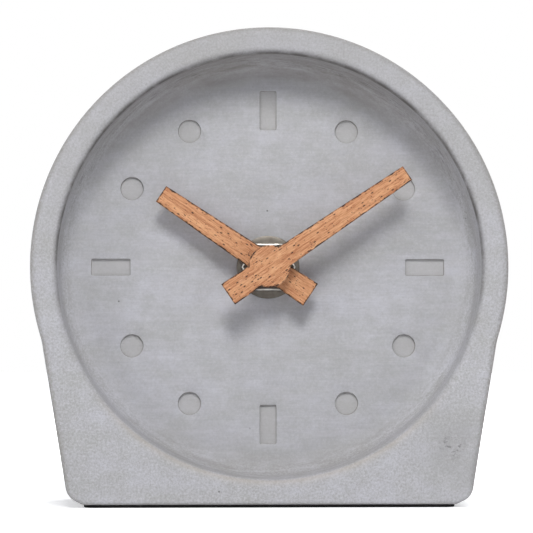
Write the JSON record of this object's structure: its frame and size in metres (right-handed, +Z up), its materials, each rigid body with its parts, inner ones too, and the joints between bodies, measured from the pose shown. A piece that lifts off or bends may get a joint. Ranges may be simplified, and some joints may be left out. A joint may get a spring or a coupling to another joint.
{
  "type": "shelf clock",
  "caption": "Round-topped cast concrete shelf clock with a coved, recessed dial, sunken hour marks, wooden hands and a quartz movement in a pocket at the back.",
  "frame": {"origin": "under the middle of the base pad, on the surface that the clock stands on", "axes": "+Z up, the dial faces -Y, the back with the movement is +Y, +X is at the right hand of someone who reads the dial"},
  "size_m": [0.12, 0.045, 0.1204],
  "materials": {
    "concrete": "matte",
    "pad_foam": "matte",
    "nickel": "satin",
    "black_rubber": "matte",
    "hand_wood": "satin",
    "brass": "satin",
    "black_plastic": "matte",
    "white_plastic": "satin",
    "wheel_plastic": "satin",
    "stator_iron": "satin",
    "copper_wire": "satin",
    "board_green": "satin",
    "chip_resin": "matte",
    "crystal_can": "satin",
    "contact_steel": "satin",
    "cell_sleeve": "satin",
    "cell_nub": "satin",
    "magnet": "satin"
  },
  "bodies": {
    "clock": {"case_body": "concrete", "base_pad": "pad_foam", "dial_washer": "nickel", "hex_nut": "nickel", "rubber_gasket": "black_rubber", "movement_front_shell": "black_plastic", "threaded_bush": "nickel", "middle_plate": "white_plastic", "rear_cover": "black_plastic", "stator_plate": "stator_iron", "coil_core": "stator_iron", "coil_bobbin": "white_plastic", "coil_winding": "copper_wire", "circuit_board": "board_green", "timing_chip": "chip_resin", "quartz_crystal": "crystal_can", "positive_contact": "contact_steel", "negative_contact": "contact_steel"},
    "minute_assembly": {"minute_hand": "hand_wood", "minute_hand_bush": "brass", "minute_arbor": "brass"},
    "hour_assembly": {"hour_hand": "hand_wood", "hour_hand_bush": "brass", "hour_wheel": "wheel_plastic"},
    "minute_works": {"minute_works_wheel": "wheel_plastic"},
    "setting_assembly": {"setting_wheel": "black_plastic"},
    "seconds_train": {"seconds_wheel": "wheel_plastic"},
    "third_train": {"third_wheel": "wheel_plastic"},
    "intermediate_train": {"intermediate_wheel": "wheel_plastic"},
    "centre_train": {"centre_wheel": "wheel_plastic"},
    "rotor": {"rotor_magnet": "magnet", "rotor_pinion": "wheel_plastic"},
    "battery": {"battery_can": "cell_sleeve", "battery_cap": "cell_nub"}
  },
  "joints": [
    {"name": "minute_turn", "type": "hinge", "parent": "clock", "child": "minute_assembly", "pos_m": [0, 0, 0.0604], "axis": [0, 1, 0], "continuous": true},
    {"name": "hour_turn", "type": "hinge", "parent": "clock", "child": "hour_assembly", "pos_m": [0, 0, 0.0604], "axis": [0, 1, 0], "continuous": true},
    {"name": "minute_works_turn", "type": "hinge", "parent": "clock", "child": "minute_works", "pos_m": [-0.0059, 0, 0.05627], "axis": [0, 1, 0], "continuous": true},
    {"name": "setting_turn", "type": "hinge", "parent": "clock", "child": "setting_assembly", "pos_m": [-0.0131, 0, 0.05627], "axis": [0, 1, 0], "continuous": true},
    {"name": "seconds_turn", "type": "hinge", "parent": "clock", "child": "seconds_train", "pos_m": [0, 0, 0.0604], "axis": [0, 1, 0], "continuous": true},
    {"name": "third_turn", "type": "hinge", "parent": "clock", "child": "third_train", "pos_m": [-0.00585, 0, 0.06876], "axis": [0, 1, 0], "continuous": true},
    {"name": "intermediate_turn", "type": "hinge", "parent": "clock", "child": "intermediate_train", "pos_m": [0.00804, 0, 0.06715], "axis": [0, 1, 0], "continuous": true},
    {"name": "centre_turn", "type": "hinge", "parent": "clock", "child": "centre_train", "pos_m": [0, 0, 0.0604], "axis": [0, 1, 0], "continuous": true},
    {"name": "rotor_turn", "type": "hinge", "parent": "clock", "child": "rotor", "pos_m": [0.01254, 0, 0.07494], "axis": [0, 1, 0], "continuous": true},
    {"name": "battery_slide", "type": "slide", "parent": "clock", "child": "battery", "axis": [0, 1, 0], "range_m": [0, 0.025]}
  ],
  "couplings": [
    {"joint": "hour_turn", "follows": "minute_turn", "ratio": 0.083333},
    {"joint": "minute_works_turn", "follows": "minute_turn", "ratio": -0.33333},
    {"joint": "setting_turn", "follows": "minute_turn", "ratio": 1},
    {"joint": "intermediate_turn", "follows": "seconds_turn", "ratio": -6},
    {"joint": "rotor_turn", "follows": "seconds_turn", "ratio": 30},
    {"joint": "third_turn", "follows": "seconds_turn", "ratio": -0.13333},
    {"joint": "centre_turn", "follows": "seconds_turn", "ratio": 0.016667}
  ]
}
